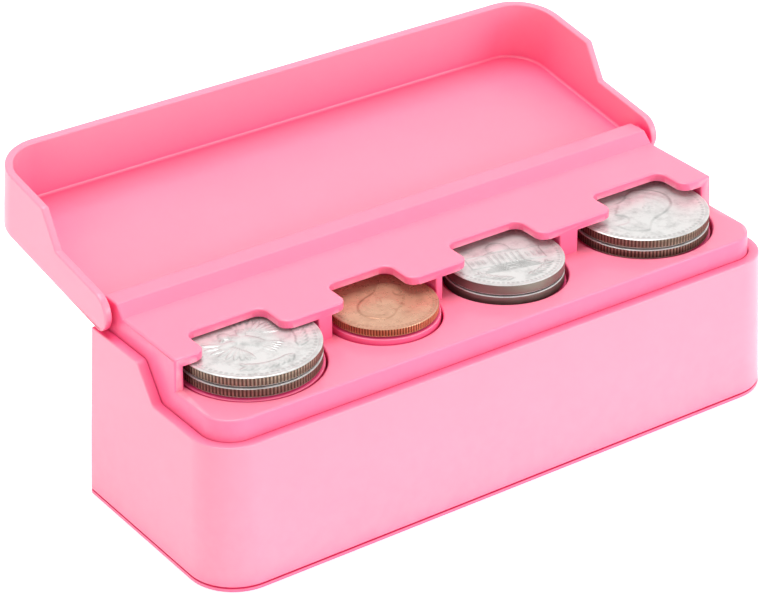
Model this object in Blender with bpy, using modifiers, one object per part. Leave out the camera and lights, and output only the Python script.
"""Pocket coin holder with a hinged lid and four sprung coin tubes.

Metres, +Z up. The origin is the centre of the underside. The lid stands open behind the case.
The case is open below and closed by a base plate. The coin tray drops in from above: its tubes
stand on the base plate, and its rear ridge lies over the case's rear wall and carries the lid.
"""

import math

import bmesh
import bpy
from mathutils import Matrix, Vector

# ---- driving dimensions -------------------------------------------------------------------

BASE_LENGTH = 0.1205
BASE_DEPTH = 0.0420
DRAFT = 0.049                 # each outer wall leans in by this much per unit of height
FRONT_RIM = 0.0268            # height of the case's rim at the front
RIM_RISE = 0.0059             # the rim is this much higher at the rear
SLANT_SETBACK = 0.0038        # from the tray plate's front edge back to the foot of the rim's slant
SLANT_RUN = 0.0049
CORNER_RADIUS = 0.0088        # upright corners at the front
REAR_CORNER_RADIUS = 0.0012
CASE_WALL = 0.0017
FIT_GAP = 0.0003              # clearance between pieces that seat on or in each other

FLANGE_THICKNESS = 0.0006     # the part of the base plate that shows under the case
BASE_TOP = 0.0025             # inner face of the base plate
SPIGOT_HEIGHT = 0.0030
SPIGOT_CLEARANCE = 0.0004

DECK_RISE = 0.0038            # the tray's deck stands this much above the front rim
DECK_THICKNESS = 0.0016
DECK_MARGIN = 0.00197         # from the tray's front face to the widest tube's bore
PLATE_RISE = 0.0059           # from the deck to the top of the notched plate
PLATE_THICKNESS = 0.0016
PLATE_LEAD = 0.0013           # the plate's front edge lies this far ahead of the tubes' centres
RIDGE_LEAD = 0.00495          # the ridge's foot lies this far ahead of the hinge axis
RIDGE_SLANT_RUN = 0.0019
RIDGE_CLEARANCE = 0.00035     # from the ridge's top to the closed lid's plate
TRAY_WALL = 0.0015
TRAY_SKIRT = 0.0126           # how far the tray's outer wall reaches down from the deck
TUBE_WALL = 0.0012
COIN_CLEARANCE = 0.0007       # radial, coin to tube
RELIEF_GAP = 0.0014           # from the widest tube's bore to the hollow behind it

SLOT_SIDE_SHARE = 0.55        # how far back a slot's wide side runs, as a share of the bore's radius
NOTCH_DEPTH = 0.0068
NOTCH_FILLET = 0.0019

HINGE_RISE = 0.0039           # hinge axis above the rear rim
HINGE_INSET = 0.00185         # hinge axis ahead of the case's rear face at the rear rim
LID_PLATE = 0.0014
LID_WALL = 0.00145
LID_PLATE_SETBACK = 0.0021    # from the hinge axis to the lid plate's rear edge
LID_SLANT_SHIFT = 0.0002
OPEN_TILT = math.radians(9.4)  # the open lid slopes up towards its free edge
PIN_RADIUS = 0.0010
PIN_ENGAGEMENT = 0.0026

FOLLOWER_CLEARANCE = 0.00035
FOLLOWER_HEIGHT = 0.0070
FOLLOWER_TOP_THICKNESS = 0.0014
FOLLOWER_WALL = 0.0011
SPRING_WIRE = 0.0008
SPRING_TURNS = 7
SPRING_SHARE = 0.56           # mean radius of a spring as a share of its coin's radius

QUARTER = {"radius": 0.01213, "thickness": 0.00175}
PENNY = {"radius": 0.009525, "thickness": 0.00152}
NICKEL = {"radius": 0.010605, "thickness": 0.00195}

# The tubes from left to right: the coins in each, the room above the top coin, the land
# between a tube's bore and the next one's, the slot's width to the left beyond the bore,
# the thumb notch's half width, and how far its middle is moved from the tube's.
TUBES = [
    {
        "name": "quarter_left", "coin": QUARTER, "coins": 2, "headroom": 0.0003, "land": 0.003645,
        "slot_extra": 0.0006, "notch_half": 0.0075, "notch_shift": -0.0015,
    },
    {
        "name": "penny", "coin": PENNY, "coins": 1, "headroom": 0.0017, "land": 0.00407,
        "slot_extra": 0.0008, "notch_half": 0.0064, "notch_shift": -0.00155,
    },
    {
        "name": "nickel", "coin": NICKEL, "coins": 2, "headroom": 0.0010, "land": 0.006565,
        "slot_extra": 0.00265, "notch_half": 0.0078, "notch_shift": -0.0007,
    },
    {
        "name": "quarter_right", "coin": QUARTER, "coins": 2, "headroom": 0.0010, "land": 0.0,
        "slot_extra": 0.0025, "notch_half": 0.0080, "notch_shift": 0.0005,
    },
]

# ---- derived places -----------------------------------------------------------------------

LEDGE = CASE_WALL + FIT_GAP
CASE_BOTTOM = FLANGE_THICKNESS + FIT_GAP
REAR_RIM = FRONT_RIM + RIM_RISE
DECK_HEIGHT = FRONT_RIM + DECK_RISE
PLATE_TOP = DECK_HEIGHT + PLATE_RISE
PLATE_UNDERSIDE = PLATE_TOP - PLATE_THICKNESS
RIM_HALF_LENGTH = BASE_LENGTH / 2 - DRAFT * FRONT_RIM
RIM_FRONT_Y = -(BASE_DEPTH / 2 - DRAFT * FRONT_RIM)
TRAY_FRONT_Y = -(BASE_DEPTH / 2 - LEDGE - DRAFT * DECK_HEIGHT)
TRAY_REAR_Y = BASE_DEPTH / 2 - LEDGE - DRAFT * REAR_RIM
WIDEST_WELL = max(tube["coin"]["radius"] for tube in TUBES) + COIN_CLEARANCE
COIN_Y = TRAY_FRONT_Y + DECK_MARGIN + WIDEST_WELL
PLATE_FRONT_Y = COIN_Y - PLATE_LEAD
SLANT_FOOT_Y = PLATE_FRONT_Y + SLANT_SETBACK
SLANT_TOP_Y = SLANT_FOOT_Y + SLANT_RUN
HINGE_Y = BASE_DEPTH / 2 - DRAFT * REAR_RIM - HINGE_INSET
HINGE_Z = REAR_RIM + HINGE_RISE
CHEEK_RADIUS = HINGE_RISE - FIT_GAP
LID_TOP = HINGE_Z + CHEEK_RADIUS
RIDGE_FOOT_Y = HINGE_Y - RIDGE_LEAD
RIDGE_TOP = LID_TOP - LID_PLATE - RIDGE_CLEARANCE
TUBE_BOTTOM = BASE_TOP + FIT_GAP
FAR = 0.2                     # reach of a cutter past everything it cuts

ROUND_STEPS = 40
CORNER_STEPS = 6
FINE = 1e-5                   # merge distance


def set_tube_places():
    """Lays the tubes side by side, with their row centred on the case."""
    bores = [2 * (tube["coin"]["radius"] + COIN_CLEARANCE) for tube in TUBES]
    left = -(sum(bores) + sum(tube["land"] for tube in TUBES)) / 2
    for tube, bore in zip(TUBES, bores):
        tube["x"] = left + bore / 2
        left += bore + tube["land"]


set_tube_places()

# ---- scene, collections and materials -----------------------------------------------------

for old in list(bpy.data.objects):
    bpy.data.objects.remove(old, do_unlink=True)


def new_collection(name):
    collection = bpy.data.collections.new(name)
    bpy.context.scene.collection.children.link(collection)
    return collection


PARTS = new_collection("coin_holder")
CUTTERS = new_collection("cutters")


def make_material(name, colour, roughness, metallic=0.0):
    material = bpy.data.materials.new(name)
    material.use_nodes = True
    shader = material.node_tree.nodes["Principled BSDF"]
    shader.inputs["Base Color"].default_value = (*colour, 1.0)
    shader.inputs["Roughness"].default_value = roughness
    shader.inputs["Metallic"].default_value = metallic
    return material


PINK = make_material("pink_plastic", (0.95, 0.36, 0.52), 0.35)
SILVER = make_material("cupronickel", (0.74, 0.73, 0.70), 0.30, 1.0)
COPPER = make_material("copper", (0.70, 0.36, 0.22), 0.32, 1.0)
STEEL = make_material("spring_steel", (0.60, 0.61, 0.63), 0.28, 1.0)


def add_part(name, mesh, material):
    part = bpy.data.objects.new(name, mesh)
    PARTS.objects.link(part)
    mesh.materials.clear()
    mesh.materials.append(material)
    return part


def add_cutter(name, mesh):
    cutter = bpy.data.objects.new(name, mesh)
    CUTTERS.objects.link(cutter)
    cutter.hide_render = True
    cutter.display_type = "WIRE"
    return cutter


def combine(part, cutter, operation):
    modifier = part.modifiers.new(cutter.name, "BOOLEAN")
    modifier.operation = operation
    modifier.solver = "EXACT"
    modifier.object = cutter


def smooth(mesh):
    mesh.shade_smooth()
    mesh.set_sharp_from_angle(angle=math.radians(30))


# ---- basic shapes -------------------------------------------------------------------------

def mesh_from(bm, name):
    bmesh.ops.recalc_face_normals(bm, faces=bm.faces)
    mesh = bpy.data.meshes.new(name)
    bm.to_mesh(mesh)
    bm.free()
    return mesh


def drafted_box(name, inset, low, high, front_radius, rear_radius, rear_inset=None):
    """A box parallel to the case's outer walls, moved in by an inset, its upright corners rounded."""
    rear = inset if rear_inset is None else rear_inset
    bm = bmesh.new()
    bmesh.ops.create_cube(bm, size=2.0)
    for vertex in bm.verts:
        z = high if vertex.co.z > 0 else low
        lean = DRAFT * z
        half_x = BASE_LENGTH / 2 - inset - lean
        y = BASE_DEPTH / 2 - (rear if vertex.co.y > 0 else inset) - lean
        vertex.co = (math.copysign(half_x, vertex.co.x), math.copysign(y, vertex.co.y), z)
    round_uprights(bm, front_radius, rear_radius)
    return mesh_from(bm, name)


def plain_box(name, low, high, front_radius=0.0, rear_radius=0.0):
    """An upright box between two corners."""
    bm = bmesh.new()
    bmesh.ops.create_cube(bm, size=1.0)
    size = Vector(high) - Vector(low)
    centre = (Vector(high) + Vector(low)) / 2
    bmesh.ops.transform(bm, matrix=Matrix.Translation(centre) @ Matrix.Diagonal((*size, 1.0)), verts=bm.verts)
    round_uprights(bm, front_radius, rear_radius)
    return mesh_from(bm, name)


def round_uprights(bm, front_radius, rear_radius):
    middle = sum(vertex.co.y for vertex in bm.verts) / len(bm.verts)
    uprights = [edge for edge in bm.edges if abs(edge.verts[0].co.z - edge.verts[1].co.z) > FINE]
    front = [edge for edge in uprights if edge.verts[0].co.y < middle]
    rear = [edge for edge in uprights if edge.verts[0].co.y > middle]
    for edges, radius in ((front, front_radius), (rear, rear_radius)):
        if radius > 0:
            steps = CORNER_STEPS if radius > 3 * REAR_CORNER_RADIUS else 2
            bmesh.ops.bevel(bm, geom=edges, offset=radius, segments=steps, profile=0.5, affect="EDGES")


def cylinder(name, radius, low, high, centre, steps=ROUND_STEPS, axis="Z"):
    bm = bmesh.new()
    bmesh.ops.create_cone(bm, cap_ends=True, segments=steps, radius1=radius, radius2=radius, depth=high - low)
    bmesh.ops.translate(bm, vec=(0, 0, (high + low) / 2), verts=bm.verts)
    if axis == "X":
        bmesh.ops.rotate(bm, matrix=Matrix.Rotation(math.pi / 2, 3, "Y"), verts=bm.verts)
    bmesh.ops.translate(bm, vec=centre, verts=bm.verts)
    mesh = mesh_from(bm, name)
    smooth(mesh)
    return mesh


def extruded_outline(name, points, low, high, along_x=False):
    """A flat outline given thickness: (x, y) points rise along Z, or (y, z) points run along X."""
    curve = bpy.data.curves.new(name, "CURVE")
    curve.dimensions = "2D"
    curve.fill_mode = "BOTH"
    curve.extrude = (high - low) / 2
    spline = curve.splines.new("POLY")
    spline.points.add(len(points) - 1)
    for point, place in zip(spline.points, points):
        point.co = (*place, 0.0, 1.0)
    spline.use_cyclic_u = True
    holder = bpy.data.objects.new(name, curve)
    CUTTERS.objects.link(holder)
    bpy.context.view_layer.update()
    graph = bpy.context.evaluated_depsgraph_get()
    mesh = bpy.data.meshes.new_from_object(holder.evaluated_get(graph))
    bpy.data.objects.remove(holder, do_unlink=True)
    bm = bmesh.new()
    bm.from_mesh(mesh)
    bmesh.ops.remove_doubles(bm, verts=bm.verts, dist=FINE)
    bmesh.ops.translate(bm, vec=(0, 0, (high + low) / 2), verts=bm.verts)
    if along_x:
        turn = Matrix(((0, 0, 1), (1, 0, 0), (0, 1, 0)))
        bmesh.ops.transform(bm, matrix=turn.to_4x4(), verts=bm.verts)
    bmesh.ops.recalc_face_normals(bm, faces=bm.faces)
    bm.to_mesh(mesh)
    bm.free()
    return mesh


def turned(name, profile, material, steps=ROUND_STEPS):
    """A profile of (radius, height) points, from the top of its outer side down, spun about Z."""
    bm = bmesh.new()
    vertices = [bm.verts.new((radius, 0, height)) for radius, height in profile]
    for first, second in zip(vertices, vertices[1:]):
        bm.edges.new((first, second))
    mesh = bpy.data.meshes.new(name)
    bm.to_mesh(mesh)
    bm.free()
    part = add_part(name, mesh, material)
    screw = part.modifiers.new("turn", "SCREW")
    screw.steps = steps
    screw.render_steps = steps
    screw.use_merge_vertices = True
    screw.merge_threshold = FINE
    screw.use_smooth_shade = False
    return part


def arc(centre, radius, start, end, steps):
    """Points on an arc, with its angles in degrees."""
    points = []
    for step in range(steps + 1):
        angle = math.radians(start + (end - start) * step / steps)
        points.append((centre[0] + radius * math.cos(angle), centre[1] + radius * math.sin(angle)))
    return points


# ---- outlines shared by pieces that meet --------------------------------------------------

def rim_profile(rise=0.0, shift=0.0):
    """The side view of the rim from the front to the top of its slant, as (y, z) points."""
    return [
        (-FAR, FRONT_RIM + rise),
        (SLANT_FOOT_Y + shift, FRONT_RIM + rise),
        (SLANT_TOP_Y + shift, REAR_RIM + rise),
    ]


def well_radius(tube):
    return tube["coin"]["radius"] + COIN_CLEARANCE


def stack_of(tube):
    """The heights of the undersides of a tube's coins, from the top coin down."""
    pitch = tube["coin"]["thickness"] + FIT_GAP
    top = PLATE_UNDERSIDE - tube["headroom"] - tube["coin"]["thickness"]
    return [top - place * pitch for place in range(tube["coins"])]


def follower_top(tube):
    return stack_of(tube)[-1] - FIT_GAP


def spring_radius(tube):
    return tube["coin"]["radius"] * SPRING_SHARE


# ---- case ---------------------------------------------------------------------------------

def make_case():
    outer = drafted_box("case", 0.0, CASE_BOTTOM, REAR_RIM, CORNER_RADIUS, REAR_CORNER_RADIUS)
    case = add_part("case", outer, PINK)
    inner_radius = CORNER_RADIUS - CASE_WALL
    hollow = drafted_box("case_hollow", CASE_WALL, -CASE_BOTTOM, REAR_RIM + CASE_WALL, inner_radius, 0.0)
    combine(case, add_cutter("case_hollow", hollow), "DIFFERENCE")

    # The rear rim is the block's own top, so this cutter rises clear of it behind the slant.
    above = [*rim_profile(), (FAR, FAR), (-FAR, FAR)]
    rim = extruded_outline("case_rim", above, -FAR, FAR, along_x=True)
    combine(case, add_cutter("case_rim", rim), "DIFFERENCE")
    return case


# ---- base plate ---------------------------------------------------------------------------

def make_base_plate():
    flange = drafted_box("base_plate", 0.0, 0.0, FLANGE_THICKNESS, CORNER_RADIUS, REAR_CORNER_RADIUS)
    base = add_part("base_plate", flange, PINK)
    plug = drafted_box("base_plug", LEDGE, FLANGE_THICKNESS / 2, BASE_TOP, CORNER_RADIUS - LEDGE, 0.0)
    combine(base, add_cutter("base_plug", plug), "UNION")
    for tube in TUBES:
        radius = spring_radius(tube) - SPRING_WIRE / 2 - SPIGOT_CLEARANCE
        name = "spigot_" + tube["name"]
        place = (tube["x"], COIN_Y, 0)
        spigot = cylinder(name, radius, BASE_TOP - FLANGE_THICKNESS, BASE_TOP + SPIGOT_HEIGHT, place, 24)
        combine(base, add_cutter(name, spigot), "UNION")
    return base


# ---- coin tray ----------------------------------------------------------------------------

def notch_outline(x, half):
    """The thumb notch in the plate's front edge, wide at its mouth, with every corner rounded."""
    back = PLATE_FRONT_Y + NOTCH_DEPTH
    fillet = NOTCH_FILLET
    steps = CORNER_STEPS
    mouth = PLATE_FRONT_Y + fillet
    right = arc((x + half + fillet, mouth), fillet, 270, 180, steps)
    right += arc((x + half - fillet, back - fillet), fillet, 0, 90, steps)
    left = arc((x - half + fillet, back - fillet), fillet, 90, 180, steps)
    left += arc((x - half - fillet, mouth), fillet, 0, -90, steps)
    front = PLATE_FRONT_Y - NOTCH_DEPTH
    return right + left + [(x - half - fillet, front), (x + half + fillet, front)]


def top_profile():
    """Everything above the tray's deck, plate and ridge, as (y, z) points."""
    return [
        (-FAR, DECK_HEIGHT),
        (PLATE_FRONT_Y, DECK_HEIGHT),
        (PLATE_FRONT_Y, PLATE_TOP),
        (RIDGE_FOOT_Y, PLATE_TOP),
        (RIDGE_FOOT_Y + RIDGE_SLANT_RUN, RIDGE_TOP),
        (FAR, RIDGE_TOP),
        (FAR, FAR),
        (-FAR, FAR),
    ]


def make_coin_tray():
    skirt_bottom = DECK_HEIGHT - TRAY_SKIRT
    outer_radius = CORNER_RADIUS - LEDGE
    block = drafted_box(
        "coin_tray", LEDGE, skirt_bottom, RIDGE_TOP + PLATE_THICKNESS, outer_radius, REAR_CORNER_RADIUS, 0.0
    )
    tray = add_part("coin_tray", block, PINK)
    top = extruded_outline("tray_top", top_profile(), -FAR, FAR, along_x=True)
    combine(tray, add_cutter("tray_top", top), "DIFFERENCE")

    behind = plain_box("tray_behind", (-FAR, TRAY_REAR_Y, -FAR), (FAR, FAR, REAR_RIM + FIT_GAP))
    combine(tray, add_cutter("tray_behind", behind), "DIFFERENCE")

    wall = LEDGE + TRAY_WALL
    rear_inset = BASE_DEPTH / 2 - DRAFT * DECK_HEIGHT - (TRAY_REAR_Y - TRAY_WALL)
    hollow = drafted_box(
        "tray_hollow", wall, -DECK_HEIGHT, DECK_HEIGHT - DECK_THICKNESS, CORNER_RADIUS - wall, 0.0, rear_inset
    )
    combine(tray, add_cutter("tray_hollow", hollow), "DIFFERENCE")

    relief_half = BASE_LENGTH / 2 - DRAFT * PLATE_TOP - wall
    relief = plain_box(
        "tray_relief",
        (-relief_half, COIN_Y + WIDEST_WELL + RELIEF_GAP, DECK_HEIGHT - 2 * DECK_THICKNESS),
        (relief_half, TRAY_REAR_Y - TRAY_WALL, PLATE_UNDERSIDE),
    )
    combine(tray, add_cutter("tray_relief", relief), "DIFFERENCE")

    for tube in TUBES:
        name = "tube_" + tube["name"]
        place = (tube["x"], COIN_Y, 0)
        outer = well_radius(tube) + TUBE_WALL
        barrel = cylinder(name, outer, TUBE_BOTTOM, DECK_HEIGHT - DECK_THICKNESS / 2, place)
        combine(tray, add_cutter(name, barrel), "UNION")
    for tube in TUBES:
        radius = well_radius(tube)
        name = "well_" + tube["name"]
        well = cylinder(name, radius, -TUBE_BOTTOM, PLATE_UNDERSIDE, (tube["x"], COIN_Y, 0))
        combine(tray, add_cutter(name, well), "DIFFERENCE")
        name = "slot_" + tube["name"]
        low = (tube["x"] - radius, PLATE_FRONT_Y - radius, DECK_HEIGHT)
        slot = plain_box(name, low, (tube["x"] + radius, COIN_Y, PLATE_UNDERSIDE))
        combine(tray, add_cutter(name, slot), "DIFFERENCE")
        name = "slot_side_" + tube["name"]
        low = (tube["x"] - radius - tube["slot_extra"], PLATE_FRONT_Y - radius, DECK_HEIGHT)
        side = plain_box(name, low, (tube["x"], COIN_Y + SLOT_SIDE_SHARE * radius, PLATE_UNDERSIDE))
        combine(tray, add_cutter(name, side), "DIFFERENCE")
        name = "notch_" + tube["name"]
        middle = (DECK_HEIGHT + PLATE_UNDERSIDE) / 2
        outline = notch_outline(tube["x"] + tube["notch_shift"], tube["notch_half"])
        notch = extruded_outline(name, outline, middle, PLATE_TOP + PLATE_THICKNESS)
        combine(tray, add_cutter(name, notch), "DIFFERENCE")

    for side in (-1, 1):
        name = "pin_hole_left" if side < 0 else "pin_hole_right"
        end_face = BASE_LENGTH / 2 - LEDGE - DRAFT * HINGE_Z
        inner = end_face - PIN_ENGAGEMENT - FIT_GAP
        low, high = sorted((side * inner, side * BASE_LENGTH))
        hole = cylinder(name, PIN_RADIUS + FIT_GAP, low, high, (0, HINGE_Y, HINGE_Z), 20, "X")
        combine(tray, add_cutter(name, hole), "DIFFERENCE")
    return tray


# ---- lid ----------------------------------------------------------------------------------

def make_lid():
    """The lid is drawn shut, about the hinge axis, and its pivot empty then turns it open."""
    pivot = bpy.data.objects.new("lid_pivot", None)
    PARTS.objects.link(pivot)
    pivot.location = (0, HINGE_Y, HINGE_Z)
    pivot.rotation_euler = (OPEN_TILT - math.pi, 0, 0)

    front = RIM_FRONT_Y - HINGE_Y
    bottom = FRONT_RIM + FIT_GAP - HINGE_Z
    top = CHEEK_RADIUS
    half = RIM_HALF_LENGTH
    low = (-half, front, bottom - LID_WALL)
    high = (half, 2 * CHEEK_RADIUS, top)
    shell = plain_box("lid", low, high, CORNER_RADIUS)
    lid = add_part("lid", shell, PINK)

    inner = half - LID_WALL
    radius = CORNER_RADIUS - LID_WALL
    low = (-inner, front + LID_WALL, -FAR)
    high = (inner, FAR, top - LID_PLATE)
    hollow = plain_box("lid_hollow", low, high, radius)
    rear = plain_box("lid_rear", (-inner, -LID_PLATE_SETBACK, -FAR), (inner, FAR, FAR))

    # One outline takes away what lies below the lid's edge and behind the cheeks' round ends.
    below = [(y - HINGE_Y, z - HINGE_Z) for y, z in rim_profile(FIT_GAP, -LID_SLANT_SHIFT)]
    round_end = arc((0, 0), CHEEK_RADIUS, -90, 90, 2 * CORNER_STEPS)
    outside = [(-FAR, -FAR), *below, *round_end, (0, FAR), (FAR, FAR), (FAR, -FAR)]
    edge = extruded_outline("lid_edge", outside, -FAR, FAR, along_x=True)

    cutters = [("lid_hollow", hollow), ("lid_rear", rear), ("lid_edge", edge)]
    for name, mesh in cutters:
        cutter = add_cutter(name, mesh)
        cutter.parent = pivot
        combine(lid, cutter, "DIFFERENCE")

    end_face = BASE_LENGTH / 2 - LEDGE - DRAFT * HINGE_Z
    for side in (-1, 1):
        name = "pin_left" if side < 0 else "pin_right"
        low, high = sorted((side * (end_face - PIN_ENGAGEMENT), side * (inner + LID_WALL / 2)))
        pin = add_cutter(name, cylinder(name, PIN_RADIUS, low, high, (0, 0, 0), 20, "X"))
        pin.parent = pivot
        combine(lid, pin, "UNION")
    lid.parent = pivot
    return lid


# ---- followers, springs and coins ---------------------------------------------------------

def make_follower(tube):
    """A cup turned upside down: its flat top carries the coins, and the spring sits inside."""
    radius = well_radius(tube) - FOLLOWER_CLEARANCE
    inner = radius - FOLLOWER_WALL
    profile = [
        (0, 0),
        (radius, 0),
        (radius, -FOLLOWER_HEIGHT),
        (inner, -FOLLOWER_HEIGHT),
        (inner, -FOLLOWER_TOP_THICKNESS),
        (0, -FOLLOWER_TOP_THICKNESS),
    ]
    follower = turned("follower_" + tube["name"], profile, PINK)
    follower.location = (tube["x"], COIN_Y, follower_top(tube))
    return follower


def spring_point(turn, radius, low, high):
    """A point on the spring's centre line: the first and last turns lie nearly flat."""
    flat = SPRING_WIRE * 1.15
    rise = (high - low - 2 * flat) / (SPRING_TURNS - 2)
    if turn < 1:
        height = low + flat * turn
    elif turn > SPRING_TURNS - 1:
        height = high - flat * (SPRING_TURNS - turn)
    else:
        height = low + flat + rise * (turn - 1)
    angle = math.tau * turn
    return (radius * math.cos(angle), radius * math.sin(angle), height)


def make_spring(tube):
    radius = spring_radius(tube)
    low = TUBE_BOTTOM + SPRING_WIRE / 2
    high = follower_top(tube) - FOLLOWER_TOP_THICKNESS - FIT_GAP - SPRING_WIRE / 2
    steps_per_turn = 16
    count = SPRING_TURNS * steps_per_turn
    name = "spring_" + tube["name"]
    curve = bpy.data.curves.new(name, "CURVE")
    curve.dimensions = "3D"
    curve.bevel_depth = SPRING_WIRE / 2
    curve.bevel_resolution = 2
    curve.use_fill_caps = True
    spline = curve.splines.new("POLY")
    spline.points.add(count)
    for step, point in enumerate(spline.points):
        point.co = (*spring_point(step / steps_per_turn, radius, low, high), 1.0)
    curve.materials.append(STEEL)
    spring = bpy.data.objects.new(name, curve)
    PARTS.objects.link(spring)
    spring.location = (tube["x"], COIN_Y, 0)
    return spring


def make_coins(tube):
    coin = tube["coin"]
    material = COPPER if coin is PENNY else SILVER
    places = ["_top", "_lower"] if tube["coins"] == 2 else [""]
    for place, underside in zip(places, stack_of(tube)):
        name = "coin_" + tube["name"] + place
        disc = add_part(name, cylinder(name, coin["radius"], 0, coin["thickness"], (0, 0, 0), 48), material)
        disc.location = (tube["x"], COIN_Y, underside)


make_case()
make_base_plate()
make_coin_tray()
make_lid()
for each_tube in TUBES:
    make_follower(each_tube)
    make_spring(each_tube)
    make_coins(each_tube)
bpy.context.view_layer.update()
